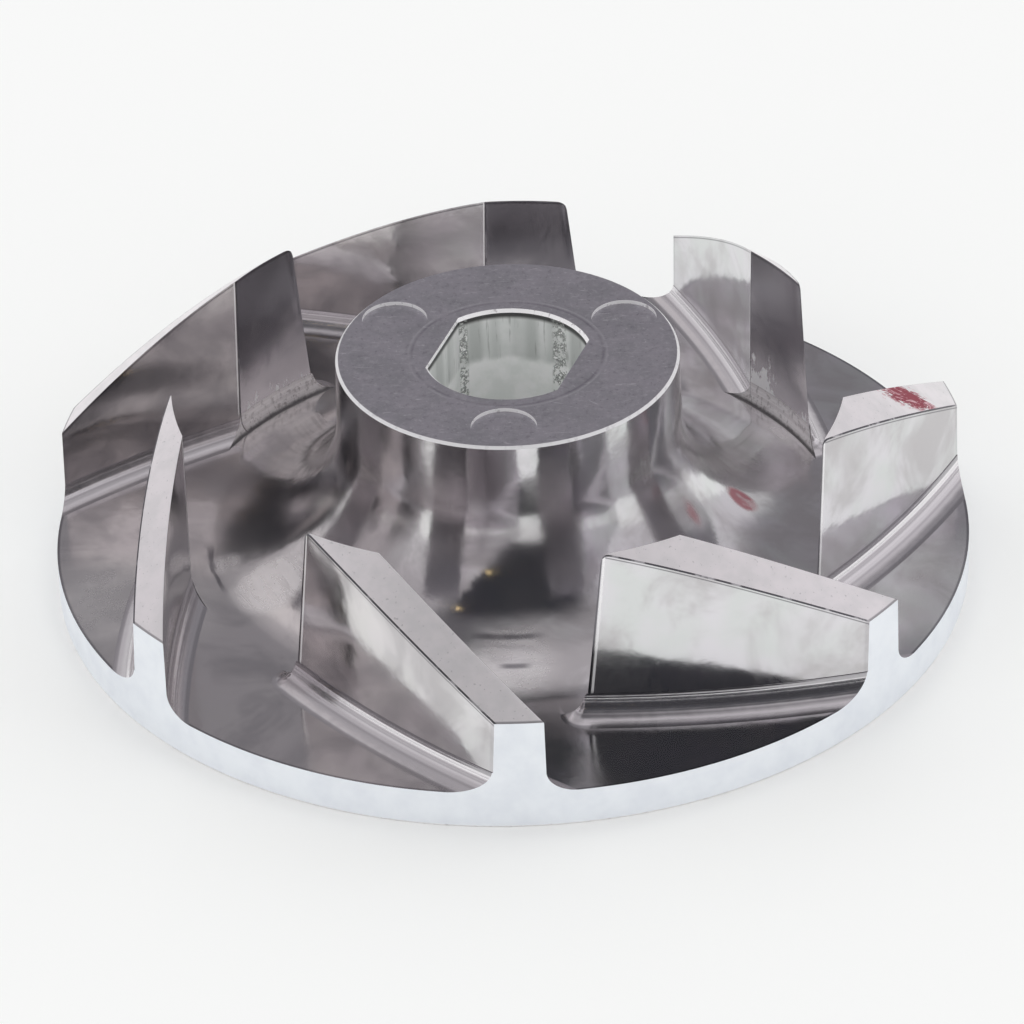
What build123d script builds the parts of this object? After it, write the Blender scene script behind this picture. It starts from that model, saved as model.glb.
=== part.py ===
"""Open pump impeller, one casting: a flared hub on a round disc with seven swept vanes.

Millimetres, +Z up along the shaft axis, origin at the centre of the flat underside.
The numbers that a designer would change are all in the block of driving dimensions.
"""
import math
import os

from build123d import *

os.makedirs("parts", exist_ok=True)

# ---------------------------------------------------------------- driving dimensions
outer_diameter = 45.0
disc_thickness = 2.0
overall_height = 12.3
rim_edge_break = 0.15

hub_diameter = 16.8
hub_straight = 3.6            # polished side below the hub face, down to the flare
hub_draft = 1.2               # degrees, the side widens downwards
hub_edge_break = 0.13
flare_diameter = 29.8         # where the hub's flare runs out on the channel floor
flare_fullness = 0.52         # 0 is a straight cone, 1 hugs the corner of hub and disc
flare_end_angle = 6.0         # degrees, the soft crease where the flare meets the floor

bore_diameter = 8.0
bore_flat_depth = 0.65        # how far each of the two flats stands in from the round
bore_flat_direction = 159.7   # degrees, where the middle of one flat lies
bore_edge_break = 0.15

# Directions, widths and bows of the vanes are those of their feet, on the channel floor.
vane_count = 7
vane_inner_diameter = 32.9
vane_inner_height = 11.0      # top of a vane at its inner end, above the underside
vane_rim_height = 6.0         # top of a vane at the rim
vane_direction = 229.8        # degrees, where the first vane's outward face begins
vane_sweep = 36.8             # degrees, from there to where that face meets the rim
vane_inner_width = 1.41
vane_rim_width = 1.88
outward_face_bow = 0.44       # bulge of the outward face from its chord
hub_side_face_bow = 0.24
outward_face_draft = 1.5      # degrees
hub_side_face_draft = 0.6

inner_end_foot_width = 0.25   # rough band at the foot of a vane's inner end
inner_end_foot_height = 1.2
outward_root = 1.2            # leg of the root fillet along the outward face
hub_side_root = 1.0
root_hollow = 0.26            # sagitta of a root fillet's arc, as a share of its leg

pin_mark_diameter = 3.2
pin_mark_margin = 0.3         # from a pin mark to the side of the hub
pin_mark_direction = 27.5     # degrees, the first of the ejector pin marks
pin_mark_count = 3
pin_mark_depth = 0.2

# ---------------------------------------------------------------- derived values
outer_radius = outer_diameter / 2
hub_radius = hub_diameter / 2
flare_radius = flare_diameter / 2
flare_top = overall_height - hub_straight
hub_widening = math.tan(math.radians(hub_draft))
hub_foot_radius = hub_radius + hub_widening * (hub_straight - hub_edge_break)
flare_run = flare_fullness * (flare_radius - hub_foot_radius)
flare_rise = flare_fullness * (flare_top - disc_thickness)
bore_radius = bore_diameter / 2
vane_inner_radius = vane_inner_diameter / 2
top_slope = (vane_inner_height - vane_rim_height) / (outer_radius - vane_inner_radius)
pin_mark_circle_radius = hub_radius - pin_mark_margin - pin_mark_diameter / 2
embed = 0.5                   # how deep a root reaches into the disc and the vane
clear = 1.0                   # how far a cutter, or what is trimmed, stands past an edge
above_vanes = vane_inner_height + 2 * clear
curl_turn = 120               # degrees that a root fillet turns round the tip of its vane


def on_circle(radius, degrees):
    angle = math.radians(degrees)
    return Vector(radius * math.cos(angle), radius * math.sin(angle))


class VaneFace:
    """One side of a vane: a cone about an upright axis, given by its two ends on the floor."""

    def __init__(self, inner, rim, bow, draft, looks_outward):
        chord = rim - inner
        hubward = Vector(-chord.Y, chord.X).normalized()
        self.foot_radius = chord.length ** 2 / (8 * bow) + bow / 2
        self.centre = (inner + rim) / 2 + hubward * (self.foot_radius - bow)
        self.side = 1 if looks_outward else -1
        self.slope = self.side * math.tan(math.radians(draft))
        self.start = self.direction_of(inner)
        self.turn = self.direction_of(rim) - self.start
        self.past = math.degrees(2 * clear / self.foot_radius)

    def direction_of(self, point):
        offset = point - self.centre
        return math.degrees(math.atan2(offset.Y, offset.X)) % 360

    def arc(self, height):
        """The plan of the face at a height, run on past both of its ends."""
        radius = self.foot_radius - self.slope * (height - disc_thickness)
        return CenterArc(self.centre, radius, self.start - self.past, self.turn + 2 * self.past)

    def root_plane(self, direction):
        """Upright plane across the foot, its x pointing away from the vane."""
        foot = self.centre + on_circle(self.foot_radius, direction)
        away = on_circle(self.side, direction)
        return Plane(origin=(foot.X, foot.Y, disc_thickness), x_dir=away,
                     z_dir=away.cross(Vector(0, 0, 1)))

    def axis(self):
        return Axis(self.centre, (0, 0, 1))


def hub_side_end(radius, width):
    """Where a line that lies width inside the outward face's chord meets a circle."""
    chord = outward_rim - outward_inner
    hubward = Vector(-chord.Y, chord.X).normalized()
    distance = -outward_inner.dot(hubward)
    facing = math.degrees(math.atan2(-hubward.Y, -hubward.X))
    return on_circle(radius, facing + math.degrees(math.acos((distance - width) / radius)))


def root_section(leg):
    """Hollow fillet between a vane and the disc, with its back sunk into both."""
    with BuildSketch(mode=Mode.PRIVATE) as section:
        with BuildLine():
            Polyline((0, leg), (-embed, leg), (-embed, -embed), (leg, -embed), (leg, 0))
            SagittaArc((leg, 0), (0, leg), root_hollow * leg)
        make_face()
    return section.sketch


outward_inner = on_circle(vane_inner_radius, vane_direction)
outward_rim = on_circle(outer_radius, vane_direction + vane_sweep)
outward = VaneFace(outward_inner, outward_rim, outward_face_bow, outward_face_draft, True)
hub_side = VaneFace(hub_side_end(vane_inner_radius, vane_inner_width),
                    hub_side_end(outer_radius, vane_rim_width),
                    hub_side_face_bow, hub_side_face_draft, False)

# ---------------------------------------------------------------- one vane
with BuildPart() as vane:
    for height in (disc_thickness - embed, above_vanes):
        with BuildSketch(Plane.XY.offset(height)):
            with BuildLine():
                outward_arc = outward.arc(height)
                hub_side_arc = hub_side.arc(height)
                Line(outward_arc @ 1, hub_side_arc @ 1)
                Line(hub_side_arc @ 0, outward_arc @ 0)
            make_face()
    loft(ruled=True)

    # root fillet of the outward face, turned about the face's own axis
    tip_plane = outward.root_plane(outward.start)
    with BuildSketch(tip_plane):
        add(root_section(outward_root))
    revolve(axis=outward.axis(), revolution_arc=outward.turn + outward.past)

    # the same fillet curling round the tip of the vane
    with BuildSketch(tip_plane):
        add(root_section(outward_root))
        with Locations((-embed / 2, 0)):
            Rectangle(embed, 4 * outward_root, mode=Mode.SUBTRACT)
    revolve(axis=Axis(tip_plane.origin, (0, 0, 1)), revolution_arc=-curl_turn)

    # root fillet of the face that looks to the hub
    with BuildSketch(hub_side.root_plane(hub_side.start - hub_side.past)):
        add(root_section(hub_side_root))
    revolve(axis=hub_side.axis(), revolution_arc=hub_side.turn + 2 * hub_side.past)

    # the inner ends lie on one circle, with a foot
    with BuildSketch(Plane.XZ):
        with BuildLine():
            Polyline((vane_inner_radius, above_vanes),
                     (vane_inner_radius, disc_thickness + inner_end_foot_height),
                     (vane_inner_radius - inner_end_foot_width, disc_thickness),
                     (vane_inner_radius - inner_end_foot_width, 0),
                     (outer_diameter, 0), (outer_diameter, above_vanes),
                     close=True)
        make_face()
    revolve(axis=Axis.Z, mode=Mode.INTERSECT)

# ---------------------------------------------------------------- impeller
with BuildSketch() as bore_outline:
    Circle(bore_radius)
    Rectangle(bore_diameter - 2 * bore_flat_depth, bore_diameter + clear,
              rotation=bore_flat_direction, mode=Mode.INTERSECT)

with BuildPart() as impeller:
    # disc, flare and hub in one turn, with stock left outside the rim
    with BuildSketch(Plane.XZ):
        with BuildLine():
            Polyline((0, 0), (outer_radius + 3 * clear, 0),
                     (outer_radius + 3 * clear, disc_thickness), (flare_radius, disc_thickness))
            end_rise = flare_run * math.tan(math.radians(flare_end_angle))
            Bezier((flare_radius, disc_thickness),
                   (flare_radius - flare_run, disc_thickness + end_rise),
                   (hub_foot_radius + hub_widening * flare_rise, flare_top - flare_rise),
                   (hub_foot_radius, flare_top))
            Polyline((hub_foot_radius, flare_top), (hub_radius, overall_height - hub_edge_break),
                     (hub_radius - hub_edge_break, overall_height),
                     (0, overall_height), (0, 0))
        make_face()
    revolve(axis=Axis.Z)
    with PolarLocations(0, vane_count):
        add(vane.part)

    # rim and vane tops, turned together
    with BuildSketch(Plane.XZ):
        with BuildLine():
            Polyline((outer_radius - rim_edge_break, -clear), (outer_diameter, -clear),
                     (outer_diameter, above_vanes), (vane_inner_radius - clear, above_vanes),
                     (vane_inner_radius - clear, vane_inner_height + clear * top_slope),
                     (outer_radius, vane_rim_height), (outer_radius, rim_edge_break),
                     (outer_radius - rim_edge_break, 0), close=True)
        make_face()
    revolve(axis=Axis.Z, mode=Mode.SUBTRACT)

    # shaft bore: round, with a flat on each side, and its edge broken at both ends
    with BuildSketch(Plane.XY.offset(-clear)):
        add(bore_outline.sketch)
    extrude(amount=overall_height + 2 * clear, mode=Mode.SUBTRACT)
    for height, depth in ((0, bore_edge_break), (overall_height, -bore_edge_break)):
        with BuildSketch(Plane.XY.offset(height)):
            add(bore_outline.sketch)
            offset(amount=bore_edge_break, kind=Kind.INTERSECTION)
        extrude(amount=depth, taper=45, mode=Mode.SUBTRACT)

    # ejector pin marks on the hub face
    with BuildSketch(Plane.XY.offset(overall_height)):
        with PolarLocations(pin_mark_circle_radius, pin_mark_count, pin_mark_direction):
            Circle(pin_mark_diameter / 2)
    extrude(amount=-pin_mark_depth, mode=Mode.SUBTRACT)

impeller.part.label = "impeller"
export_step(impeller.part, "parts/impeller.step")
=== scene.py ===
"""Open pump impeller: one polished aluminium casting with seven swept vanes."""
import math

import bmesh
import bpy
from mathutils import Matrix, Vector


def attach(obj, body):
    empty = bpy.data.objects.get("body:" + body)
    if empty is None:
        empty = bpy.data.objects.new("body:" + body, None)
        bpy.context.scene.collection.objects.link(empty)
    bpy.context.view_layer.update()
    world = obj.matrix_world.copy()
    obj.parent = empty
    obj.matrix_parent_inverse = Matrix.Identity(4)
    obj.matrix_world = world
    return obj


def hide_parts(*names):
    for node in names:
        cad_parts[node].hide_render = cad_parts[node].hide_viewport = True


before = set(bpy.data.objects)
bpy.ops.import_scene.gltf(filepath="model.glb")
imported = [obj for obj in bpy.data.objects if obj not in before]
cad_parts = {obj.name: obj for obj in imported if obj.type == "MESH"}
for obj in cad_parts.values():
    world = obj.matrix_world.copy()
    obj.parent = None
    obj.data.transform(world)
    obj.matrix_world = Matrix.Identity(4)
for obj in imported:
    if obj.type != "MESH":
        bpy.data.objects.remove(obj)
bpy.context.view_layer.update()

MM = 0.001

# ---------------------------------------------------------------- sizes, in millimetres and degrees
# disc, turned from stock that stands out past its rim
rim_radius = 22.5
disc_thickness = 2.0
overall_height = 12.3
rim_edge_break = 0.15

# hub and the flare round its foot
hub_radius = 8.4
hub_edge_break = 0.13
hub_straight = 3.6            # height of the hub above the flare
hub_draft = 1.2               # the hub's side widens downwards
flare_radius = 14.9
flare_fullness = 0.52         # how far the curve's control points stand out, as a share of its run
flare_end_angle = 6.0

# double-D shaft bore
bore_radius = 4.0
bore_flat_distance = 3.35     # from the axis
bore_flat_direction = 159.7
bore_edge_break = 0.15
bore_flat_edge_break = 0.05

# vanes: each one's outward face, which looks to the rim, and the face that looks to the hub
vane_count = 7
inner_radius = 16.45
inner_height = 11.0
rim_height = 6.0
vane_direction = 229.8        # where the first vane's outward face starts
vane_sweep = 36.8             # how far round it has gone at the rim
vane_inner_width = 1.41
vane_rim_width = 1.88
outward_face_bow = 0.44
hub_side_face_bow = 0.24
outward_face_draft = 1.5
hub_side_face_draft = 0.6

# where the vanes meet the disc
foot_width = 0.25
foot_height = 1.2
outward_root = 1.2
hub_side_root = 1.0
root_hollow = 0.26            # depth of a root fillet's hollow, as a share of its leg

# ejector pin marks
pin_mark_radius = 1.6
pin_mark_circle_radius = 6.5
pin_mark_direction = 27.5
pin_mark_depth = 0.2
pin_mark_count = 3

# edges of a vane
top_edge_round = 0.12
end_edge_round = 0.15         # the upright edges of a vane's inner end
tip_corner_round = 0.5        # the top corner of a vane's tip, seen from the side

# marks on the metal
washer_radius = 4.68
edge_highlight_radius = inner_radius + 0.055       # just outside the vanes' upright inner edges
dark_line_fade = 0.16
smear_x = 19.5
smear_y = 1.0
smear_turn = 36.87
smear_half_length = 1.7
smear_half_width = 0.72

# how the pieces are cut and put together
core_radius = 2.0             # hollow left down the axis, inside the bore
embed = 0.5                   # how far a piece is sunk into the one that it joins
clear = 1.0                   # how far a cutter stands past what it cuts
stock_radius = rim_radius + 3 * clear
floor_round_flare = 0.3       # a narrow ring of floor round the flare, which is shaded apart from it
inside_end = 0.02             # how far behind a vane's end its fillets are cut off
outward_root_lag = 0.02       # degrees by which the outward fillet starts behind its face's end

# how fine the meshes are
turned_steps = 360            # facets round the axis
flare_steps = 48
bore_arc_steps = 64
pin_mark_steps = 96
curl_steps = 96
root_steps = 64
root_arc_steps = 12
edge_round_steps = 3
along_vane = 48
across_vane = 16
dark_columns = 2              # columns of the vane's top that belong to its dark outward edge
first_step_along = 0.15       # the first step along and across a vane, as a share of an even one
first_step_across = 0.35
foot_shares = (0, 0.03, 0.11, 0.26, 0.52, 1)    # closer near the floor, where the foot is most hollow
smooth_below = 22             # edges that turn less than this are shaded smooth
near = 1e-4                   # closer than this is the same place
weld = 0.002                  # corners closer than this become one in the finished casting
sliver = 0.001                # and edges shorter than this are dissolved

# the slots of the casting's finishes
(POLISHED, HUB_FACE, TURNED_RIM, VANE_TOP, ROOT, FOOT, BORE, UNDERSIDE, BRIGHT_EDGE,
 END_FACE, VANE_EDGE) = range(11)


# ---------------------------------------------------------------- meshes
def polar(radius, degrees, height=0.0):
    """A point by its distance from the axis, its direction from it and its height."""
    angle = math.radians(degrees)
    return Vector((radius * math.cos(angle), radius * math.sin(angle), height))


def finished(shape, name, materials):
    """A bmesh in millimetres becomes an object in millimetres with every finish in its slots."""
    bmesh.ops.recalc_face_normals(shape, faces=shape.faces)
    mesh = bpy.data.meshes.new(name)
    shape.to_mesh(mesh)
    shape.free()
    piece = bpy.data.objects.new(name, mesh)
    bpy.context.scene.collection.objects.link(piece)
    for material in materials:
        mesh.materials.append(material)
    return piece


def combine(piece, tool, operation):
    """Boolean of two closed pieces. The tool is used up."""
    modifier = piece.modifiers.new("combine", "BOOLEAN")
    modifier.solver = "MANIFOLD"
    modifier.operation = operation
    modifier.object = tool
    result = bpy.data.meshes.new_from_object(
        piece.evaluated_get(bpy.context.evaluated_depsgraph_get()))
    piece.modifiers.remove(modifier)
    piece.data = result
    bpy.data.objects.remove(tool)


def turned(profile, name, materials):
    """Full turn about the axis of a closed outline of (radius, height, finish of the next run)."""
    shape = bmesh.new()
    corners = [shape.verts.new((radius, 0, height)) for radius, height, _ in profile]
    edges = [shape.edges.new((corners[i - 1], corners[i])) for i in range(len(corners))]
    bmesh.ops.spin(shape, geom=corners + edges, axis=(0, 0, 1), cent=(0, 0, 0),
                   angle=math.tau, steps=turned_steps, use_merge=True)
    bmesh.ops.remove_doubles(shape, verts=shape.verts, dist=near)
    runs = [(Vector((profile[i - 1][0], profile[i - 1][1])), Vector((profile[i][0], profile[i][1])),
             profile[i - 1][2]) for i in range(len(profile))]
    for face in shape.faces:
        middle = face.calc_center_median()
        face.material_index = finish_of_run(Vector((middle.xy.length, middle.z)), runs)
    return finished(shape, name, materials)


def finish_of_run(point, runs):
    """Finish of the run of an outline that passes nearest a point."""
    def distance(run):
        """How far the point lies from a run."""
        start, end, _ = run
        along = end - start
        share = max(0, min(1, (point - start).dot(along) / along.length_squared))
        return (start + along * share - point).length
    return min(runs, key=distance)[2]


def bezier(points, steps):
    """Points of a cubic curve, its first one left out."""
    curve = []
    for step in range(1, steps + 1):
        t = step / steps
        weights = ((1 - t) ** 3, 3 * t * (1 - t) ** 2, 3 * t ** 2 * (1 - t), t ** 3)
        curve.append(sum((Vector(p) * w for p, w in zip(points, weights)), Vector((0, 0))))
    return curve


class VaneFace:
    """One side of a vane: a cone about an upright axis, given by its two ends on the floor."""

    def __init__(self, inner, rim, bow, draft, side):
        chord = rim - inner
        hubward = Vector((-chord.y, chord.x, 0)).normalized()
        self.foot_radius = chord.length ** 2 / (8 * bow) + bow / 2
        self.centre = (inner + rim) / 2 + hubward * (self.foot_radius - bow)
        self.side = side
        self.slope = side * math.tan(math.radians(draft))
        self.start = self.direction_of(inner)
        self.turn = self.direction_of(rim) - self.start
        self.past = math.degrees(2 * clear / self.foot_radius)

    def direction_of(self, point):
        """Direction of a point from the cone's axis, in degrees."""
        offset = point - self.centre
        return math.degrees(math.atan2(offset.y, offset.x)) % 360

    def bearing(self, radius, height):
        """Direction from the axis, in degrees, in which the face meets a circle at a height."""
        own = self.foot_radius - self.slope * (height - disc_thickness)
        reach = self.centre.length
        opening = math.acos((radius ** 2 + reach ** 2 - own ** 2) / (2 * radius * reach))
        return math.degrees(math.atan2(self.centre.y, self.centre.x) - opening) % 360


def hub_side_end(radius, width):
    """Where a line that lies width inside the outward face's chord meets a circle."""
    chord = outward_rim - outward_inner
    hubward = Vector((-chord.y, chord.x, 0)).normalized()
    distance = -outward_inner.dot(hubward)
    facing = math.degrees(math.atan2(-hubward.y, -hubward.x))
    return polar(radius, facing + math.degrees(math.acos((distance - width) / radius)))


outward_inner = polar(inner_radius, vane_direction)
outward_rim = polar(rim_radius, vane_direction + vane_sweep)
outward = VaneFace(outward_inner, outward_rim, outward_face_bow, outward_face_draft, 1)
hub_side = VaneFace(hub_side_end(inner_radius, vane_inner_width),
                    hub_side_end(rim_radius, vane_rim_width),
                    hub_side_face_bow, hub_side_face_draft, -1)
top_slope = (inner_height - rim_height) / (rim_radius - inner_radius)
tip = outward_inner + Vector((0, 0, disc_thickness))
tip_corner = polar(inner_radius, outward.bearing(inner_radius, inner_height))
foot_levels = [disc_thickness + foot_height * share for share in foot_shares]
# heights of the vane's rows of corners, from below the floor up to the sloping top, which is None
vane_levels = [disc_thickness - embed] + foot_levels + [disc_thickness + 2 * foot_height, None]


def inner_end(height):
    """Radius of a vane's inner end: it hollows out towards the hub at its foot."""
    below = 1 - max(0, min(1, (height - disc_thickness) / foot_height))
    return inner_radius - foot_width * (1 - math.sqrt(1 - below ** 2))


def vane_point(along, across, level):
    """A point of the vane, from its inner end (along 0) and its outward face (across 0)."""
    height = vane_levels[level]
    on_top = height is None
    inner = inner_radius if on_top else inner_end(height)
    along *= first_step_along + (1 - first_step_along) * along
    radius = inner + (rim_radius + clear - inner) * along
    across *= first_step_across + (1 - first_step_across) * across
    if on_top:
        height = inner_height - top_slope * (radius - inner_radius)
    bearing = outward.bearing(radius, height)
    bearing += across * (hub_side.bearing(radius, height) - bearing)
    if on_top:
        short = max(0, tip_corner_round - (polar(radius, bearing) - tip_corner).length)
        height -= tip_corner_round - math.sqrt(tip_corner_round ** 2 - short ** 2)
    return polar(radius, bearing, height)


def vane_slab(materials):
    """The vane without its root fillets: a block of quads, its edges rounded over."""
    shape = bmesh.new()
    weight = shape.edges.layers.float.new("bevel_weight_edge")
    bmesh.ops.create_grid(shape, x_segments=along_vane, y_segments=across_vane, size=0.5)
    bmesh.ops.translate(shape, verts=shape.verts, vec=(0.5, 0.5, 0))
    last = len(vane_levels) - 1
    made = bmesh.ops.extrude_face_region(shape, geom=list(shape.faces), use_keep_orig=True)
    lifted = [item for item in made["geom"] if isinstance(item, bmesh.types.BMVert)]
    bmesh.ops.translate(shape, verts=lifted, vec=(0, 0, last))
    upright = [edge for edge in shape.edges if abs(edge.verts[0].co.z - edge.verts[1].co.z) > 1]
    bmesh.ops.subdivide_edges(shape, edges=upright, cuts=last - 1, use_grid_fill=False)
    for face in shape.faces:
        middle = face.calc_center_median()
        face.material_index = POLISHED
        if middle.z > last - near:
            face.material_index = VANE_TOP if middle.y > dark_columns / across_vane else VANE_EDGE
        elif middle.x < near:
            face.material_index = FOOT if middle.z < len(foot_levels) else END_FACE

    def edges_where(test):
        return [edge for edge in shape.edges if all(test(vert.co) for vert in edge.verts)]

    end_edges = edges_where(lambda at: at.x < near and (at.y < near or at.y > 1 - near))
    top_edges = edges_where(lambda at: at.z > last - near and (at.y < near or at.y > 1 - near))
    top_edges += edges_where(lambda at: at.z > last - near and at.x < near)
    for vert in shape.verts:
        vert.co = vane_point(min(1, max(0, vert.co.x)), min(1, max(0, vert.co.y)), round(vert.co.z))
    for edges, size in ((end_edges, end_edge_round), (top_edges, top_edge_round)):
        for edge in edges:
            edge[weight] = size / end_edge_round
    piece = finished(shape, "vane", materials)
    rounding = piece.modifiers.new("rounding", "BEVEL")
    rounding.limit_method = "WEIGHT"
    rounding.width = end_edge_round
    rounding.segments = edge_round_steps
    rounding.material = VANE_EDGE
    rounded = bpy.data.meshes.new_from_object(
        piece.evaluated_get(bpy.context.evaluated_depsgraph_get()))
    piece.modifiers.clear()
    piece.data = rounded
    return piece


def root_arc(leg):
    """The hollow of a root fillet, from its end on the floor to its end on the face."""
    chord = Vector((-leg, leg))
    sagitta = root_hollow * leg
    radius = chord.length ** 2 / (8 * sagitta) + sagitta / 2
    centre = Vector((leg, leg)) / 2 + Vector((1, 1)).normalized() * (radius - sagitta)
    first = math.atan2(-centre.y, leg - centre.x)
    second = math.atan2(leg - centre.y, -centre.x)
    turn = (second - first + math.pi) % math.tau - math.pi
    angles = [first + turn * step / root_arc_steps for step in range(root_arc_steps + 1)]
    return [centre + Vector((math.cos(angle), math.sin(angle))) * radius for angle in angles]


def root_fillet(face, leg, before, materials):
    """The fillet along a face, turned about the face's own axis, its back sunk into vane and disc."""
    start = face.start - before
    outline = root_arc(leg) + [Vector((-embed, leg)), Vector((-embed, -embed)), Vector((leg, -embed))]
    shape = bmesh.new()
    corners = []
    for x, y in outline:
        at = face.centre + polar(face.foot_radius + face.side * x, start)
        corners.append(shape.verts.new((at.x, at.y, disc_thickness + y)))
    edges = [shape.edges.new((corners[i - 1], corners[i])) for i in range(len(corners))]
    bmesh.ops.spin(shape, geom=corners + edges, axis=(0, 0, 1), cent=face.centre,
                   angle=math.radians(face.turn + face.past + before), steps=root_steps)
    bmesh.ops.holes_fill(shape, edges=[e for e in shape.edges if e.is_boundary], sides=0)
    for side in shape.faces:
        side.material_index = ROOT
    return finished(shape, "root_fillet", materials)


def tip_curl(materials):
    """The outward face's fillet goes on round the tip of the vane."""
    outline = [Vector((0, -embed)), Vector((outward_root, -embed))] + root_arc(outward_root)
    shape = bmesh.new()
    corners = [shape.verts.new((tip.x + x, tip.y, tip.z + y)) for x, y in outline]
    edges = [shape.edges.new((corners[i], corners[i + 1])) for i in range(len(corners) - 1)]
    bmesh.ops.spin(shape, geom=corners + edges, axis=(0, 0, 1), cent=tip,
                   angle=math.tau, steps=curl_steps, use_merge=True)
    bmesh.ops.remove_doubles(shape, verts=shape.verts, dist=near)
    for side in shape.faces:
        side.material_index = ROOT
    return finished(shape, "tip_curl", materials)


def inner_ring(materials):
    """What the fillets are trimmed to: all that lies outside the circle of the inner ends."""
    heights = [overall_height] + foot_levels[::-1] + [0]
    profile = [(stock_radius, 0, FOOT), (stock_radius, overall_height, FOOT)]
    profile += [(inner_end(height) + inside_end, height, FOOT) for height in heights]
    return turned(profile, "inner_ring", materials)


def one_vane(materials):
    """The first vane with its root fillets, which end where its inner end does."""
    vane = vane_slab(materials)
    for fillet in (root_fillet(outward, outward_root, -outward_root_lag, materials), tip_curl(materials),
                   root_fillet(hub_side, hub_side_root, hub_side.past, materials)):
        combine(fillet, inner_ring(materials), "INTERSECT")
        combine(vane, fillet, "UNION")
    return vane


def body_stock(materials):
    """Disc, flare and hub in one turn, with stock outside the rim."""
    flare_top = overall_height - hub_straight
    widening = math.tan(math.radians(hub_draft))
    hub_foot = hub_radius + widening * (hub_straight - hub_edge_break)
    run = flare_fullness * (flare_radius - hub_foot)
    rise = flare_fullness * (flare_top - disc_thickness)
    flare = bezier([(flare_radius, disc_thickness),
                    (flare_radius - run,
                     disc_thickness + run * math.tan(math.radians(flare_end_angle))),
                    (hub_foot + widening * rise, flare_top - rise), (hub_foot, flare_top)], flare_steps)
    profile = [(core_radius, 0, UNDERSIDE), (stock_radius, 0, TURNED_RIM),
               (stock_radius, disc_thickness, POLISHED),
               (flare_radius + floor_round_flare, disc_thickness, POLISHED),
               (flare_radius, disc_thickness, POLISHED)]
    profile += [(point.x, point.y, POLISHED) for point in flare]
    profile += [(hub_radius, overall_height - hub_edge_break, BRIGHT_EDGE),
                (hub_radius - hub_edge_break, overall_height, HUB_FACE),
                (core_radius, overall_height, BORE)]
    return turned(profile, "impeller_casting", materials)


def rim_envelope(materials):
    """The rim's turned cylinder with its lower edge broken."""
    top = overall_height + clear
    inside = core_radius / 2
    broken = rim_radius - rim_edge_break
    profile = [(inside, -clear, UNDERSIDE), (broken, -clear, BRIGHT_EDGE), (broken, 0, BRIGHT_EDGE),
               (rim_radius, rim_edge_break, TURNED_RIM), (rim_radius, top, TURNED_RIM),
               (inside, top, TURNED_RIM)]
    return turned(profile, "rim_envelope", materials)


def bore_cutter(materials):
    """Round with a flat on each side, spreading at both ends where the edges are broken."""
    spread = bore_edge_break + clear
    levels = ((-clear, spread), (bore_edge_break, 0), (overall_height - bore_edge_break, 0),
              (overall_height + clear, spread))

    def outline(height, wider):
        """The bore's outline at a height, its round grown by wider and its flats by less."""
        flat = bore_flat_distance + wider * bore_flat_edge_break / bore_edge_break
        edge = math.degrees(math.acos(flat / (bore_radius + wider)))
        points = []
        for half in (0, 180):
            for step in range(bore_arc_steps + 1):
                angle = edge + (180 - 2 * edge) * step / bore_arc_steps
                points.append(polar(bore_radius + wider, bore_flat_direction + half + angle, height))
        return points

    shape = bmesh.new()
    rings = []
    for height, wider in levels:
        corners = [shape.verts.new(point) for point in outline(height, wider)]
        rings.append([shape.edges.new((corners[i - 1], corners[i])) for i in range(len(corners))])
    for lower, upper in zip(rings, rings[1:]):
        bmesh.ops.bridge_loops(shape, edges=lower + upper)
    bmesh.ops.holes_fill(shape, edges=[e for e in shape.edges if e.is_boundary], sides=0)
    for face in shape.faces:
        middle = face.calc_center_median().z
        inside = levels[1][0] < middle < levels[2][0]
        face.material_index = BORE if inside else BRIGHT_EDGE
    return finished(shape, "bore_cutter", materials)


def pin_mark_cutters(materials):
    """A drum that stands in the hub face for each pin mark."""
    shape = bmesh.new()
    for step in range(pin_mark_count):
        at = polar(pin_mark_circle_radius, pin_mark_direction + 360 / pin_mark_count * step,
                   overall_height - pin_mark_depth + clear)
        bmesh.ops.create_cone(shape, segments=pin_mark_steps, radius1=pin_mark_radius,
                              radius2=pin_mark_radius, depth=2 * clear, cap_ends=True,
                              matrix=Matrix.Translation(at))
    for face in shape.faces:
        flat = abs(face.normal.z) > 0.5
        face.material_index = HUB_FACE if flat else BRIGHT_EDGE
    return finished(shape, "pin_marks", materials)


def ring_of_vanes(materials):
    """Every vane, each turned on from the last, as one tool. They don't touch."""
    vanes = one_vane(materials)
    shape = bmesh.new()
    for step in range(vane_count):
        vane = vanes.data.copy()
        vane.transform(Matrix.Rotation(math.tau * step / vane_count, 4, "Z"))
        shape.from_mesh(vane)
        bpy.data.meshes.remove(vane)
    shape.to_mesh(vanes.data)
    shape.free()
    return vanes


def clean_and_shade(piece):
    """Weld the cuts' slivers. Shade smooth within a finish and over the vanes' rounded edges."""
    shape = bmesh.new()
    shape.from_mesh(piece.data)
    bmesh.ops.remove_doubles(shape, verts=shape.verts, dist=weld)
    bmesh.ops.dissolve_degenerate(shape, edges=shape.edges, dist=sliver)
    limit = math.radians(smooth_below)
    for face in shape.faces:
        face.smooth = True
    for edge in shape.edges:
        slots = {face.material_index for face in edge.link_faces}
        same_finish = len(slots) == 1 or VANE_EDGE in slots
        edge.smooth = same_finish and edge.calc_face_angle(0) < limit
    shape.to_mesh(piece.data)
    shape.free()


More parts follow.
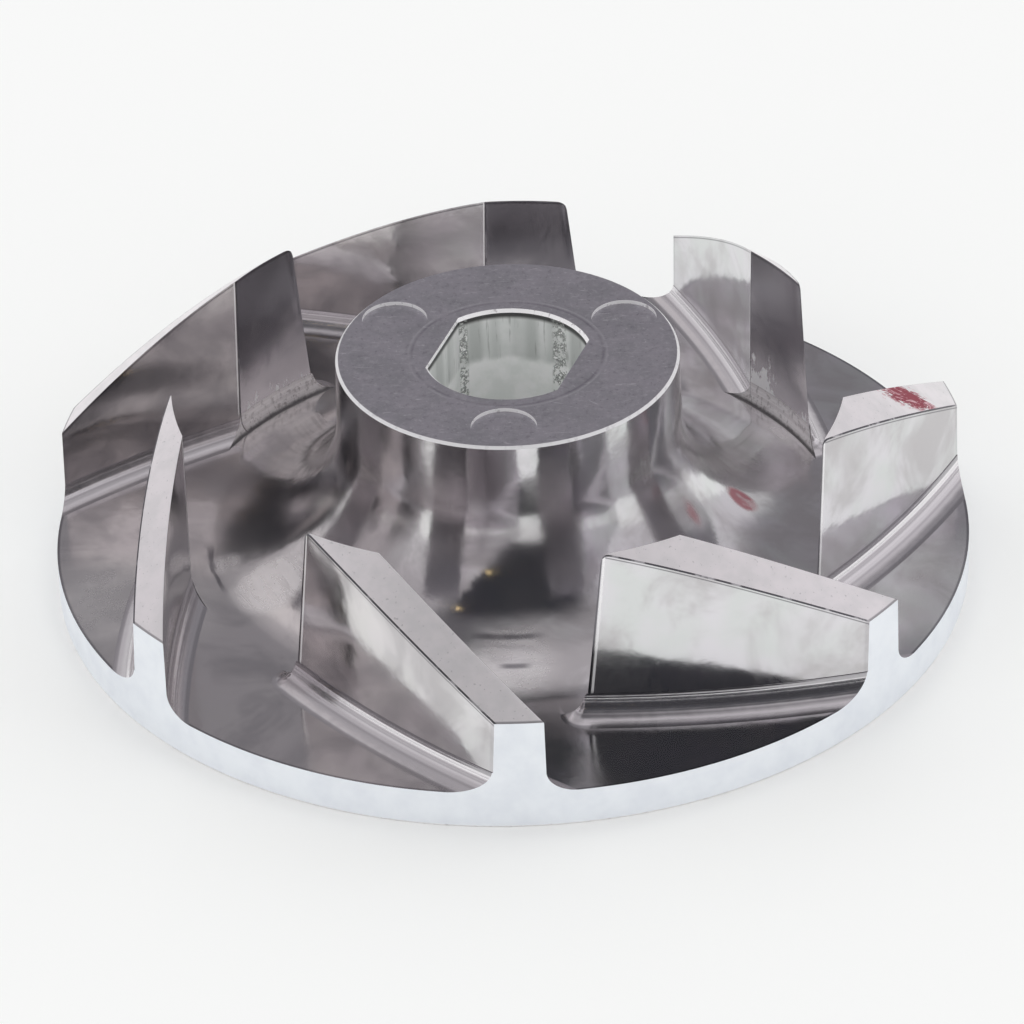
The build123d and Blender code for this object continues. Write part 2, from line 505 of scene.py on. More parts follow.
def casting(materials):
    """The whole impeller, worked out in millimetres and then brought to metres."""
    piece = body_stock(materials)
    combine(piece, ring_of_vanes(materials), "UNION")
    combine(piece, rim_envelope(materials), "INTERSECT")
    combine(piece, bore_cutter(materials), "DIFFERENCE")
    combine(piece, pin_mark_cutters(materials), "DIFFERENCE")
    clean_and_shade(piece)
    piece.data.transform(Matrix.Scale(MM, 4))
    return piece


# ---------------------------------------------------------------- finishes
class Value:
    """What comes out of a node. Arithmetic on it adds Math nodes."""

    def __init__(self, nodes, socket):
        self.nodes = nodes
        self.socket = socket

    def math(self, operation, first, second=0.0):
        return self.nodes.add("ShaderNodeMath", {"operation": operation}, {0: first, 1: second})

    def __add__(self, other):
        return self.math("ADD", self, other)

    def __sub__(self, other):
        return self.math("SUBTRACT", self, other)

    def __mul__(self, other):
        return self.math("MULTIPLY", self, other)

    def __truediv__(self, other):
        return self.math("DIVIDE", self, other)

    def __rsub__(self, other):
        return self.math("SUBTRACT", other, self)

    def __pow__(self, other):
        return self.math("POWER", self, other)

    __radd__ = __add__
    __rmul__ = __mul__

    def absolute(self):
        return self.math("ABSOLUTE", self)

    def rising(self, low, high):
        """0 below low, 1 above high, smooth between."""
        return self.nodes.add("ShaderNodeMapRange", {"interpolation_type": "SMOOTHSTEP"},
                              {0: self, 1: low, 2: high, 3: 0.0, 4: 1.0})


class Nodes:
    """The node tree of one finish or of the studio."""

    def __init__(self, owner):
        owner.use_nodes = True
        self.tree = owner.node_tree
        self.tree.nodes.clear()

    def add(self, kind, settings=None, sockets=None, output=0):
        """A node of a kind, its settings made first, then the values or links of its sockets."""
        node = self.tree.nodes.new(kind)
        for name, value in (settings or {}).items():
            if name == "stops":
                self.set_stops(node.color_ramp.elements, value)
            else:
                setattr(node, name, value)
        for name, value in (sockets or {}).items():
            if isinstance(value, Value):
                self.tree.links.new(value.socket, node.inputs[name])
            else:
                node.inputs[name].default_value = value
        return None if output is None else Value(self, node.outputs[output])

    def set_stops(self, elements, stops):
        """A new ramp has two stops, and the rest are added."""
        for number, (place, colour) in enumerate(stops):
            if number > 1:
                elements.new(place)
            elements[number].position = place
            elements[number].color = (*colour, 1)

    def mix(self, share, first, second):
        """Colour: first where share is 0, second where it is 1."""
        first, second = ((*c, 1) if isinstance(c, tuple) else c for c in (first, second))
        return self.add("ShaderNodeMix", {"data_type": "RGBA"}, {0: share, 6: first, 7: second}, 2)

    def split(self, vector):
        node = self.add("ShaderNodeSeparateXYZ", None, {0: vector}).socket.node
        return [Value(self, socket) for socket in node.outputs]

    def join(self, x, y, z):
        return self.add("ShaderNodeCombineXYZ", None, {0: x, 1: y, 2: z})

    def noise(self, at, scale, detail, roughness, warp=0.0):
        return self.add("ShaderNodeTexNoise", None, {"Vector": at, "Scale": scale, "Detail": detail,
                                                     "Roughness": roughness, "Distortion": warp})

    def ramp(self, value, stops):
        return self.add("ShaderNodeValToRGB", {"stops": stops}, {0: value})


class Finish(Nodes):
    """One finish of the metal. Its patterns are in millimetres, in the impeller's own frame.

    Thresholds of noise run from 0 to 1, and most of a noise lies between 0.3 and 0.7.
    """

    def __init__(self, name):
        self.material = bpy.data.materials.new(name)
        super().__init__(self.material)
        place = self.add("ShaderNodeTexCoord", None, None, 3)
        self.at = self.add("ShaderNodeVectorMath", {"operation": "SCALE"}, {0: place, 3: 1 / MM})
        self.x, self.y, self.z = self.split(self.at)
        self.radius = (self.x * self.x + self.y * self.y) ** 0.5
        self.bearing = self.x.math("ARCTAN2", self.y, self.x)

    def line(self, value, place, half_width, soft):
        """1 where a value lies within half_width of a place, fading out over soft on each side."""
        return 1 - (value - place).absolute().rising(half_width, half_width + soft)

    def patch(self, x, y, radius, soft):
        """1 round a point of the plan, fading out from radius over soft."""
        across = self.x - x
        along = self.y - y
        return 1 - ((across * across + along * along) ** 0.5).rising(radius, radius + soft)

    def below_top(self):
        """How far a point lies below the turned tops of the vanes."""
        return inner_height - top_slope * (self.radius - inner_radius) - self.z

    def metal(self, colour, roughness, relief, metallic=1.0):
        """relief is the surface's height in millimetres. A blasted or oxidised face is less metallic."""
        normal = self.add("ShaderNodeBump", None, {"Strength": 1.0, "Distance": MM, "Height": relief})
        shader = self.add("ShaderNodeBsdfPrincipled", None,
                          {"Base Color": colour, "Metallic": metallic, "Roughness": roughness,
                           "Normal": normal})
        self.add("ShaderNodeOutputMaterial", None, {"Surface": shader}, None)
        return self.material


# colours of the metal and of what is on it, and of painted shade, highlights and reflections
CLEAN = (0.77, 0.75, 0.78)
CLEAN_COOL = (0.72, 0.735, 0.73)
CLEAN_WARM = (0.80, 0.762, 0.755)
STAINED = (0.57, 0.55, 0.56)
STAINED_DARK = (0.42, 0.40, 0.415)
PAINTED_DARK_LINE = (0.17, 0.16, 0.18)
SCUFFED = (0.97, 0.925, 0.935)
# rubbed metal on the vanes' inner ends, and the painted highlight beside their upright edges
RUBBED_AND_HIGHLIGHT = (0.97, 0.96, 0.97)
# painted shade along the vanes' upright inner edges
UPRIGHT_EDGE_SHADE = (0.09, 0.085, 0.10)
EDGE_SHADE = (0.10, 0.095, 0.11)
RIM_SHADE = (0.15, 0.14, 0.17)
# red paint, and a painted red reflection on the flare
RED_PAINT_AND_REFLECTION = (0.34, 0.045, 0.075)
THICK_RED_PAINT = (0.34, 0.012, 0.045)
RUBBED_RED_PAINT = (0.80, 0.50, 0.55)
END_PALE = (0.66, 0.63, 0.645)
END_DARK = (0.42, 0.405, 0.43)
BLASTED = (0.46, 0.44, 0.485)
BLASTED_DARK = (0.395, 0.385, 0.42)
PALE_MOTTLE = (0.62, 0.61, 0.64)
DARK_MOTTLE = (0.25, 0.24, 0.27)
BRIGHT_GRAIN = (0.85, 0.84, 0.86)
DARK_GRAIN = (0.18, 0.17, 0.20)
# light scratches, and the painted highlight on the washer ring's lip
SCRATCH_AND_LIP_HIGHLIGHT = (0.80, 0.79, 0.82)
# painted shade in the washer ring's groove
GROOVE_SHADE = (0.22, 0.20, 0.24)
RIM_PALE = (0.90, 0.93, 0.97)
RIM_GREY = (0.84, 0.87, 0.92)
TOP_PALE = (0.95, 0.91, 0.93)
TOP_GREY = (0.86, 0.835, 0.85)
PIT = (0.40, 0.39, 0.40)
# painted shade where a vane's top meets the rim
OUTER_END_SHADE = (0.20, 0.19, 0.21)
ROOT_PALE = (0.95, 0.925, 0.945)
ROOT_DARK = (0.52, 0.50, 0.52)
# painted shade where a root fillet meets the floor and the vane's face
ROOT_EDGE_SHADE = (0.22, 0.21, 0.23)
FOOT_PALE = (0.95, 0.925, 0.925)
FOOT_GREY = (0.72, 0.69, 0.69)
FOOT_HATCH = (0.46, 0.43, 0.43)
FOOT_SPECK = (0.38, 0.35, 0.35)
# painted shade in the corner where a vane's foot meets the floor
CORNER_SHADE = (0.07, 0.065, 0.07)
# painted light: the bore's near-white wall deeper in
BORE_WHITE = (1.0, 1.0, 1.0)
BORE_PALE = (0.88, 0.90, 0.885)
BORE_PANEL = (0.58, 0.60, 0.585)
BORE_MOUTH_SHADE = (0.50, 0.52, 0.51)
TOOL_MARK = (0.34, 0.35, 0.34)
TORN_DARK = (0.30, 0.31, 0.30)
MOUTH_SHADE = (0.06, 0.06, 0.06)
FACED_PALE = (0.80, 0.79, 0.79)
FACED_GREY = (0.70, 0.69, 0.69)
# painted highlight on the broken edges
BROKEN_EDGE_HIGHLIGHT = (0.99, 0.98, 0.99)
NICK = (0.62, 0.60, 0.62)
HUB_EDGE_HIGHLIGHT = (0.66, 0.65, 0.67)
VANE_EDGE_SHADE = (0.13, 0.125, 0.14)
VANE_EDGE_RUBBED = (0.75, 0.73, 0.76)

# single marks: x and y of the middle, how far each is solid, how far it then fades out
WORN_BY_A_ROOT = (13.4, 8.0, 0.3, 1.6)
WORN_BEHIND_A_TIP = (-11.9, -5.0, 1.3, 1.0)
WORN_BESIDE_A_TIP = (-14.2, -2.4, 0.3, 0.9)
WORN_FLARE_FOOT = (-0.2, -12.6, 1.0, 2.0)
HAZY_FLOORS = ((20.5, -6.5, 2.0, 4.0), (-19.0, -5.5, 2.0, 4.0))
HUB_STAIN = (-1.2, -8.5, 0.5, 1.3)
RED_SPOT = (11.35, -0.05, 0.55, 0.35)
# a painted red reflection, fainter than the spot of paint above
FAINT_RED_REFLECTION = (8.8, -3.9, 0.1, 0.5)
TORN_END = (12.6, 10.5, 0.8, 0.8)
# painted dark lines round the axis, two of them painted reflections at the front of the flare and one
# painted shade in the crease at its foot: radius, half width, and the patch that each is in
LONG_DARK_REFLECTION = (11.4, 0.03, (-0.4, -11.4, 0.9, 1.2))
SHORT_DARK_REFLECTION = (12.75, 0.04, (-0.1, -12.75, 0.3, 0.7))
WAVERING_CREASE_SHADE = (15.0, 0.05, (-14.7, -2.6, 1.2, 1.4))
# where the broach tore the bore's corners: direction in degrees, then half width and fade in radians
TORN_CORNERS = ((122.5, 0.045, 0.03), (50, 0.08, 0.05))


def polished():
    """Channels, flare and vane sides: mirror-bright but wavy, clouded and scuffed, with painted shade,
    painted highlights and painted reflections.
    """
    finish = Finish("polished_aluminium")
    waves = finish.noise(finish.at, scale=0.28, detail=2.0, roughness=0.45)
    ripple = finish.noise(finish.at, scale=1.3, detail=2.0, roughness=0.5)
    cloud = finish.noise(finish.at, scale=0.22, detail=4.0, roughness=0.6, warp=0.6)
    tarnish = finish.noise(finish.at, scale=0.35, detail=2.0, roughness=0.5)
    grain = finish.noise(finish.at, scale=9.0, detail=2.0, roughness=0.6)
    brush = finish.noise(finish.join(finish.bearing * 6.0, finish.radius * 2.2, 0.0),
                         scale=1.2, detail=3.0, roughness=0.6, warp=0.6)
    on_floor = 1 - finish.z.rising(2.3, 3.0)
    on_flare = 1 - finish.z.rising(3.6, 4.2)
    on_hub = finish.z.rising(8.4, 9.6)
    below_hub = 1 - finish.z.rising(6.5, 7.5)
    above_root = finish.z.rising(3.0, 3.4)

    def painted_dark_line(mark, at):
        """A painted dark line round the axis, kept to the patch that its mark gives."""
        radius, half_width, place = mark
        return finish.line(at, radius, half_width, dark_line_fade) * finish.patch(*place)

    stain = cloud.rising(0.40, 0.66)
    warm = 1 - finish.x.rising(-12.0, 4.0)
    hub_stain = finish.patch(*HUB_STAIN) * on_hub
    scuffed = finish.patch(*WORN_BY_A_ROOT) * 0.5 + finish.patch(*WORN_BEHIND_A_TIP)
    scuffed += finish.patch(*WORN_BESIDE_A_TIP) * 0.6 + finish.patch(*WORN_FLARE_FOOT) * 0.6
    scuffed = scuffed * (0.6 + 0.4 * brush.rising(0.32, 0.64)) * on_flare
    # painted dark lines: reflections at the front of the flare, shade in the crease at its foot
    painted_dark_lines = painted_dark_line(LONG_DARK_REFLECTION, finish.radius) + painted_dark_line(SHORT_DARK_REFLECTION, finish.radius)
    painted_dark_lines += painted_dark_line(WAVERING_CREASE_SHADE, finish.radius + (brush - 0.5) * 0.8) * on_flare
    hazy = sum(finish.patch(*place) for place in HAZY_FLOORS) * on_floor
    # a spot of red paint on the flare and a fainter painted red reflection
    red_paint_and_reflection = finish.patch(*RED_SPOT) + finish.patch(*FAINT_RED_REFLECTION) * 0.7
    red_paint_and_reflection = red_paint_and_reflection * below_hub * (0.6 + 0.4 * ripple.rising(0.4, 0.55))
    edge_shade = finish.line(finish.below_top(), top_edge_round, 0.0, 0.06)
    rim_shade = finish.radius.rising(rim_radius - 0.16, rim_radius - 0.08) * (0.25 + 0.75 * on_floor)
    # painted highlight: a bright line on the face just outside each vane's upright inner edge
    edge_highlight = finish.line(finish.radius, edge_highlight_radius, 0.010, 0.012) * above_root
    # painted shade: a dark line along each vane's upright inner edge
    upright_edge_shade = finish.line(finish.radius, inner_radius, 0.022, 0.012) * above_root

    colour = finish.mix(tarnish.rising(0.35, 0.65), CLEAN, CLEAN_COOL)
    colour = finish.mix(warm * 0.8, colour, CLEAN_WARM)
    colour = finish.mix(stain, colour, STAINED)
    colour = finish.mix(hub_stain, colour, STAINED_DARK)
    colour = finish.mix(scuffed * 0.8, colour, SCUFFED)
    # painted reflections and painted shade as dark lines round the axis
    colour = finish.mix(painted_dark_lines * 0.75, colour, PAINTED_DARK_LINE)
    colour = finish.mix(edge_shade * 0.75, colour, EDGE_SHADE)
    colour = finish.mix(rim_shade * 0.6, colour, RIM_SHADE)
    # painted highlight beside the vanes' upright edges
    colour = finish.mix(edge_highlight * 0.8, colour, RUBBED_AND_HIGHLIGHT)
    colour = finish.mix(upright_edge_shade * 0.85, colour, UPRIGHT_EDGE_SHADE)
    colour = finish.mix(red_paint_and_reflection * 0.85, colour, RED_PAINT_AND_REFLECTION)
    roughness = 0.09 + stain * 0.09 + grain * 0.05 + scuffed * 0.2 + hazy * 0.08 + red_paint_and_reflection * 0.2
    dull = hazy * 0.26 + scuffed * 0.6 + red_paint_and_reflection * 0.8 + edge_highlight * 0.6
    relief = waves * 0.05 + ripple * 0.006 + grain * 0.0006
    return finish.metal(colour, roughness, relief, 1 - dull)


def inner_end_face():
    """The upright inner ends of the vanes: duller, darker at the top, streaked above the foot."""
    finish = Finish("vane_end_dull")
    cloud = finish.noise(finish.at, scale=0.45, detail=3.0, roughness=0.6, warp=0.4)
    grain = finish.noise(finish.at, scale=8.0, detail=2.0, roughness=0.6)
    streaks = finish.noise(finish.join(finish.bearing * 16.0, 0.0, finish.z * 0.4),
                           scale=1.9, detail=3.0, roughness=0.65)
    darker = (finish.z + (cloud - 0.5) * 8.0).rising(4.0, 8.0)
    torn = finish.patch(*TORN_END) * 0.16
    jagged = (streaks + torn - (finish.z - 3.2) * 0.11).rising(0.54, 0.60)
    jagged = jagged * (1 - finish.z.rising(4.9, 5.6))
    edge_shade = finish.line(finish.below_top(), top_edge_round, 0.0, 0.07)

    colour = finish.mix(darker, END_PALE, END_DARK)
    colour = finish.mix(jagged * 0.9, colour, RUBBED_AND_HIGHLIGHT)
    colour = finish.mix(edge_shade * 0.75, colour, EDGE_SHADE)
    roughness = 0.2 + cloud * 0.1 + jagged * 0.2
    return finish.metal(colour, roughness, cloud * 0.03 + grain * 0.001, 1 - jagged * 0.65)


def hub_face():
    """Fine blasted grain, with a ring worn by a washer, painted shade in its groove and a painted
    highlight on its lip, and light scratches.
    """
    finish = Finish("hub_face_matt")
    grain = finish.noise(finish.at, scale=6.0, detail=3.0, roughness=0.7)
    cloud = finish.noise(finish.at, scale=0.5, detail=3.0, roughness=0.6)
    mottle = finish.noise(finish.at, scale=2.6, detail=3.0, roughness=0.7)
    scratches = finish.noise(finish.join(finish.x * 0.5, finish.y * 3.0, finish.z),
                             scale=2.2, detail=3.0, roughness=0.7, warp=0.8)
    crossing = finish.noise(finish.join(finish.x * 2.4 + finish.y * 2.0,
                                        finish.y * 0.5 - finish.x * 0.6, finish.z),
                            scale=2.0, detail=3.0, roughness=0.7, warp=0.8)
    worn = cloud.rising(0.35, 0.6)
    # the washer's ring: painted shade in its groove and a painted highlight on its lip
    groove = finish.line(finish.radius, washer_radius, 0.0, 0.12) * worn
    lip_highlight = finish.line(finish.radius, washer_radius + 0.18, 0.0, 0.10) * worn

    colour = finish.mix(cloud.rising(0.35, 0.7), BLASTED, BLASTED_DARK)
    colour = finish.mix(mottle.rising(0.52, 0.66) * 0.3, colour, PALE_MOTTLE)
    colour = finish.mix((1 - mottle.rising(0.32, 0.44)) * 0.4, colour, DARK_MOTTLE)
    colour = finish.mix(grain.rising(0.60, 0.78) * 0.5, colour, BRIGHT_GRAIN)
    colour = finish.mix((1 - grain.rising(0.27, 0.40)) * 0.55, colour, DARK_GRAIN)
    colour = finish.mix(scratches.rising(0.62, 0.70) * 0.5, colour, SCRATCH_AND_LIP_HIGHLIGHT)
    colour = finish.mix(crossing.rising(0.64, 0.72) * 0.4, colour, SCRATCH_AND_LIP_HIGHLIGHT)
    colour = finish.mix(groove * 0.5, colour, GROOVE_SHADE)
    colour = finish.mix(lip_highlight * 0.25, colour, SCRATCH_AND_LIP_HIGHLIGHT)
    return finish.metal(colour, 0.42 + grain * 0.1, grain * 0.010 - groove * 0.010)


def turned_rim():
    """Lathe-turned rim: faint rings round it."""
    finish = Finish("turned_rim")
    rings = finish.noise(finish.join(finish.bearing * 0.6, 0.0, finish.z),
                         scale=9.0, detail=3.0, roughness=0.6)
    cloud = finish.noise(finish.at, scale=0.6, detail=3.0, roughness=0.6)
    colour = finish.mix(cloud.rising(0.35, 0.75), RIM_PALE, RIM_GREY)
    return finish.metal(colour, 0.42 + cloud * 0.1, rings * 0.003, 0.7)


def vane_top():
    """Turned vane tops, satin, with one smear of red marking paint."""
    finish = Finish("vane_top_satin")
    rings = finish.noise(finish.join(finish.radius, finish.bearing * 1.5, 0.0),
                         scale=5.0, detail=3.0, roughness=0.6)
    cloud = finish.noise(finish.at, scale=0.7, detail=3.0, roughness=0.6)
    pits = finish.noise(finish.at, scale=6.0, detail=2.0, roughness=0.5)
    # painted shade: a dark line where each vane's top meets the rim
    outer_end_shade = finish.radius.rising(rim_radius - 0.12, rim_radius - 0.05)

    # the smear lies aslant: places along and across it are shares of its half length and width
    from_x = finish.x - smear_x
    from_y = finish.y - smear_y
    slant = Vector((math.cos(math.radians(smear_turn)), math.sin(math.radians(smear_turn))))
    along = (from_x * slant.x + from_y * slant.y) / smear_half_length
    across = (from_y * slant.x - from_x * slant.y) / smear_half_width
    reach = (along * along + across * across) ** 0.5
    streaks = finish.noise(finish.join(along * 1.2, across * 1.6, 0.0),
                           scale=1.7, detail=3.0, roughness=0.7, warp=1.2)
    smear = (1.05 - reach + (streaks - 0.5) * 2.2).rising(0.0, 0.2)
    paint = finish.mix(streaks.rising(0.50, 0.62), THICK_RED_PAINT, RUBBED_RED_PAINT)

    colour = finish.mix(cloud.rising(0.35, 0.7), TOP_PALE, TOP_GREY)
    colour = finish.mix(pits.rising(0.66, 0.73) * 0.4, colour, PIT)
    colour = finish.mix(outer_end_shade * 0.7, colour, OUTER_END_SHADE)
    colour = finish.mix(smear * 0.92, colour, paint)
    roughness = 0.34 + cloud * 0.1 + smear * 0.2
    return finish.metal(colour, roughness, rings * 0.004 + pits * 0.003, 0.7)


def root_fillet_cast():
    """Root fillets: bright and dark lines drawn along their length."""
    finish = Finish("root_fillet_cast")
    lines = finish.noise(finish.join(0.0, 0.0, finish.z), scale=2.6, detail=2.0, roughness=0.6)
    breaks = finish.noise(finish.at, scale=0.7, detail=2.0, roughness=0.5)
    grain = finish.noise(finish.at, scale=7.0, detail=2.0, roughness=0.6)
    root_top = disc_thickness + hub_side_root
    # painted shade along the creases at the fillet's toe on the floor and at its top on the face
    toe_shade = 1 - finish.z.rising(disc_thickness + 0.02, disc_thickness + 0.06)
    top_shade = finish.z.rising(root_top - 0.06, root_top - 0.02)

    colour = finish.mix(lines.rising(0.38, 0.62), ROOT_PALE, ROOT_DARK)
    colour = finish.mix((toe_shade + top_shade) * 0.5, colour, ROOT_EDGE_SHADE)
    relief = lines * 0.08 + breaks * 0.03 + grain * 0.001
    return finish.metal(colour, 0.16 + grain * 0.1, relief)


def rough_foot():
    """The hollow foot of a vane's inner end: drawn lines, specked, a thin painted shade in the corner at
    the floor.
    """
    finish = Finish("rough_foot")
    lines = finish.noise(finish.join(0.0, 0.0, finish.z), scale=2.6, detail=2.0, roughness=0.6)
    specks = finish.noise(finish.at, scale=2.4, detail=3.0, roughness=0.7)
    hatch = finish.noise(finish.join(finish.bearing * 16.0, 0.0, finish.z * 0.8),
                         scale=3.5, detail=3.0, roughness=0.7)
    # painted shade in the corner where the foot meets the floor
    corner = 1 - (finish.z + (specks - 0.5) * 0.2).rising(disc_thickness + 0.04, disc_thickness + 0.26)

    colour = finish.mix(lines.rising(0.35, 0.65), FOOT_PALE, FOOT_GREY)
    colour = finish.mix(hatch.rising(0.52, 0.62) * 0.6, colour, FOOT_HATCH)
    colour = finish.mix(specks.rising(0.60, 0.68) * 0.6, colour, FOOT_SPECK)
    colour = finish.mix(corner * 0.9, colour, CORNER_SHADE)
    relief = lines * 0.05 + specks * 0.02 + hatch * 0.02
    return finish.metal(colour, 0.3 + specks * 0.2, relief, 0.85)


def broached_bore():
    """Bore and flats: upright tool marks, painted shade towards the mouth and painted light deeper in,
    speckled at the broach's corners.
    """
    finish = Finish("broached_bore")
    panels = finish.noise(finish.join(finish.bearing * 1.3, 0.0, 0.0),
                          scale=2.2, detail=1.0, roughness=0.4)
    marks = finish.noise(finish.join(finish.bearing * 6.0, 0.0, finish.z * 0.12),
                         scale=3.0, detail=3.0, roughness=0.65)
    speckle = finish.noise(finish.at, scale=3.2, detail=3.0, roughness=0.7)
    cloud = finish.noise(finish.at, scale=0.8, detail=3.0, roughness=0.6)
    corner = sum(finish.line(finish.bearing, math.radians(direction), half_width, fade)
                 for direction, half_width, fade in TORN_CORNERS)
    # painted shade towards the mouth of the bore
    mouth = (finish.z + (cloud - 0.5) * 0.5).rising(overall_height - 3.0, overall_height - 2.5)
    shade = finish.z.rising(overall_height - 0.55, overall_height - 0.3)

    # painted light: near-white deeper in the bore
    colour = finish.mix(cloud.rising(0.35, 0.65), BORE_WHITE, BORE_PALE)
    colour = finish.mix(mouth * panels.rising(0.40, 0.62), colour, BORE_PANEL)
    colour = finish.mix(mouth * 0.35, colour, BORE_MOUTH_SHADE)
    colour = finish.mix(mouth * marks.rising(0.56, 0.66) * 0.6, colour, TOOL_MARK)
    colour = finish.mix(shade, colour, MOUTH_SHADE)
    colour = finish.mix(corner * speckle.rising(0.46, 0.54), colour, TORN_DARK)
    colour = finish.mix(corner * speckle.rising(0.58, 0.64), colour, BORE_WHITE)
    return finish.metal(colour, 0.34 + speckle * 0.1, marks * 0.015 + speckle * corner * 0.08, 0.08)


def underside():
    """Faced flat on a lathe: fine rings."""
    finish = Finish("underside_turned")
    rings = finish.noise(finish.join(finish.radius, finish.bearing * 0.3, 0.0),
                         scale=6.0, detail=3.0, roughness=0.6)
    cloud = finish.noise(finish.at, scale=0.4, detail=3.0, roughness=0.6)
    colour = finish.mix(cloud.rising(0.35, 0.7), FACED_PALE, FACED_GREY)
    return finish.metal(colour, 0.32 + cloud * 0.1, rings * 0.004)


def bright_edge():
    """Broken edges of bore, rim and pin marks: a painted highlight, brighter than what they border. The
    hub's is painted less bright.
    """
    finish = Finish("bright_edge")
    nicks = finish.noise(finish.at, scale=3.0, detail=3.0, roughness=0.6)
    on_hub_edge = finish.radius.rising(hub_radius - 0.3, hub_radius - 0.2)
    on_hub_edge = on_hub_edge * (1 - finish.radius.rising(hub_radius + 0.2, hub_radius + 0.4))
    # painted highlight on the broken edges, less bright on the hub's
    colour = finish.mix(nicks.rising(0.56, 0.70), BROKEN_EDGE_HIGHLIGHT, NICK)
    colour = finish.mix(on_hub_edge * 0.6, colour, HUB_EDGE_HIGHLIGHT)
    return finish.metal(colour, 0.3 + nicks * 0.1, nicks * 0.01, 0.25)


def vane_edge():
    """Edges of the vanes: dark with painted shade, rubbed bright in places."""
    finish = Finish("vane_edge")
    wear = finish.noise(finish.at, scale=0.9, detail=3.0, roughness=0.65)
    # painted shade on the vanes' rounded edges
    colour = finish.mix(wear.rising(0.54, 0.64) * 0.7, VANE_EDGE_SHADE, VANE_EDGE_RUBBED)
    return finish.metal(colour, 0.35 + wear * 0.1, wear * 0.01, 0.8)


FINISHES = {POLISHED: polished, HUB_FACE: hub_face, TURNED_RIM: turned_rim, VANE_TOP: vane_top,
            ROOT: root_fillet_cast, FOOT: rough_foot, BORE: broached_bore, UNDERSIDE: underside,
            BRIGHT_EDGE: bright_edge, END_FACE: inner_end_face, VANE_EDGE: vane_edge}
impeller = casting([FINISHES[slot]() for slot in sorted(FINISHES)])
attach(impeller, "root")
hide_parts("impeller")

# ---------------------------------------------------------------- floor, light and camera
scene = bpy.context.scene
scene.view_settings.view_transform = "Standard"

# patches of the tent that the metal mirrors, each as the direction in which it lies
CAMERA_SIDE = (0.05, -0.999)
BACK = (0.26, 0.966)
OVERHEAD = (0.17, 0.27, 0.948)
HIGH_LEFT = (-0.203, -0.352, 0.914)
LEFT_BACK = (-0.468, 0.578, 0.669)
LOW_LAMP = (-0.235, -0.875, 0.423)
HIGH_LAMP = (-0.370, -0.509, 0.777)

TENT_BY_HEIGHT = [(0.0, (0.66, 0.65, 0.665)), (0.26, (0.60, 0.585, 0.60)), (0.45, (0.48, 0.46, 0.48)),
                  (0.75, (0.40, 0.385, 0.40)), (1.0, (0.42, 0.405, 0.42))]
TENT_RIGHT = (0.64, 0.62, 0.645)
TENT_BACK = (0.25, 0.242, 0.26)
TENT_OVERHEAD = (0.60, 0.58, 0.60)
TENT_HIGH_LEFT = (0.13, 0.125, 0.135)
TENT_LEFT_BACK = (0.66, 0.63, 0.64)
TENT_CAMERA_SIDE = (0.030, 0.030, 0.037)
LAMP_LIGHT = (3.2, 2.4, 1.1)
DAYLIGHT = (1.0, 1.0, 1.0)
TABLE_WHITE = (0.95, 0.955, 0.95)


def white_table():
    """Matt white."""
    material = bpy.data.materials.new("white_table")
    nodes = Nodes(material)
    shader = nodes.add("ShaderNodeBsdfPrincipled", None,
                       {"Base Color": (*TABLE_WHITE, 1), "Roughness": 0.9})
    nodes.add("ShaderNodeOutputMaterial", None, {"Surface": shader}, None)
    return material


def table_top():
    """The plain floor that the impeller stands on."""
    shape = bmesh.new()
    bmesh.ops.create_grid(shape, x_segments=1, y_segments=1, size=table_half_width)
    mesh = bpy.data.meshes.new("floor")
    shape.to_mesh(mesh)
    shape.free()
    mesh.materials.append(white_table())
    top = bpy.data.objects.new("floor", mesh)
    scene.collection.objects.link(top)
    return top


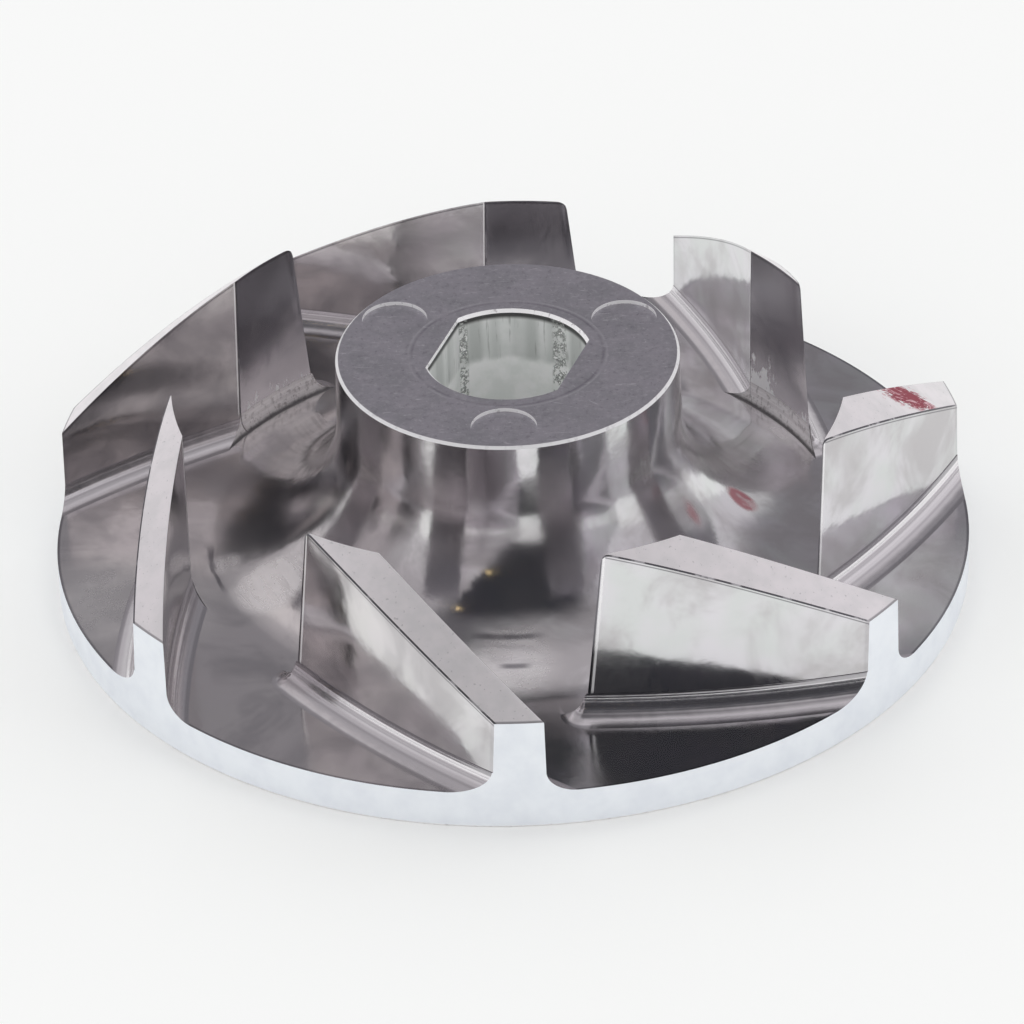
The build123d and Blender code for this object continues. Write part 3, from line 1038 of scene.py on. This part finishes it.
def studio():
    """A soft tent: pale low down, greyer higher, darker at the back, black round the camera."""
    world = bpy.data.worlds.new("studio")
    nodes = Nodes(world)
    direction = nodes.add("ShaderNodeTexCoord", None, None, 0)
    x, y, z = nodes.split(direction)
    level = (x * x + y * y) ** 0.5

    def round_about(patch):
        """How nearly a ray runs towards a patch, its height left out."""
        return (x * patch[0] + y * patch[1]) / level

    def towards(patch):
        """How nearly a ray runs towards a patch: 1 where it does."""
        return x * patch[0] + y * patch[1] + z * patch[2]

    folds = nodes.noise(direction, scale=2.6, detail=2.0, roughness=0.5, warp=0.4)
    right = (x / level).rising(0.55, 0.9) * (1 - z.rising(0.6, 0.8))
    back = round_about(BACK).rising(0.80, 0.95) * z.rising(0.22, 0.38) * (1 - z.rising(0.78, 0.9))
    overhead = towards(OVERHEAD).rising(0.91, 0.97)
    high_left = towards(HIGH_LEFT).rising(0.93, 0.985)
    left_back = towards(LEFT_BACK).rising(0.975, 0.993)
    camera_side = round_about(CAMERA_SIDE).rising(0.60, 0.86) * (1 - z.rising(0.80, 0.92))
    lamps = towards(LOW_LAMP).rising(0.9996, 0.9999) + towards(HIGH_LAMP).rising(0.9996, 0.9999)

    tent = nodes.ramp(z + (folds - 0.5) * 0.16, TENT_BY_HEIGHT)
    tent = nodes.mix(right, tent, TENT_RIGHT)
    tent = nodes.mix(back, tent, TENT_BACK)
    tent = nodes.mix(overhead, tent, TENT_OVERHEAD)
    tent = nodes.mix(high_left, tent, TENT_HIGH_LEFT)
    tent = nodes.mix(left_back, tent, TENT_LEFT_BACK)
    tent = nodes.mix(camera_side, tent, TENT_CAMERA_SIDE)
    tent = nodes.mix(lamps, tent, LAMP_LIGHT)
    path = nodes.add("ShaderNodeLightPath").socket.node
    glossy = Value(nodes, path.outputs["Is Glossy Ray"])
    background = nodes.add("ShaderNodeBackground", None,
                           {"Color": nodes.mix(glossy, DAYLIGHT, tent), "Strength": 1.0})
    nodes.add("ShaderNodeOutputWorld", None, {"Surface": background}, None)
    return world


def long_lens_camera():
    """A camera in front of the impeller, looking down on it, a little turned about its own view."""
    camera = bpy.data.objects.new("camera", bpy.data.cameras.new("camera"))
    scene.collection.objects.link(camera)
    elevation = math.radians(camera_elevation)
    backwards = Vector((0, -math.cos(elevation), math.sin(elevation)))
    camera.location = (backwards * camera_distance + Vector((0, 0, camera_pivot_height))) * MM
    look = (Vector(camera_aim) * MM - camera.location).normalized()
    turn = Matrix.Rotation(math.radians(camera_turn), 4, look)
    upright = look.to_track_quat("-Z", "Y").to_matrix().to_4x4()
    camera.rotation_mode = "QUATERNION"
    camera.rotation_quaternion = (turn @ upright).to_quaternion()
    camera.data.lens = camera_lens
    camera.data.sensor_width = camera_film_width
    camera.data.clip_start = 0.01
    camera.data.clip_end = 20
    return camera


table_half_width = 3.0        # metres
camera_elevation = 32.993     # degrees above the horizon
camera_turn = 1.7533          # degrees
camera_distance = 410.945     # these three in millimetres
camera_pivot_height = 6.75
camera_aim = (-0.015, -1.68, 4.163)
camera_lens = 294.36
camera_film_width = 36

floor = table_top()
scene.world = studio()
scene.camera = long_lens_camera()
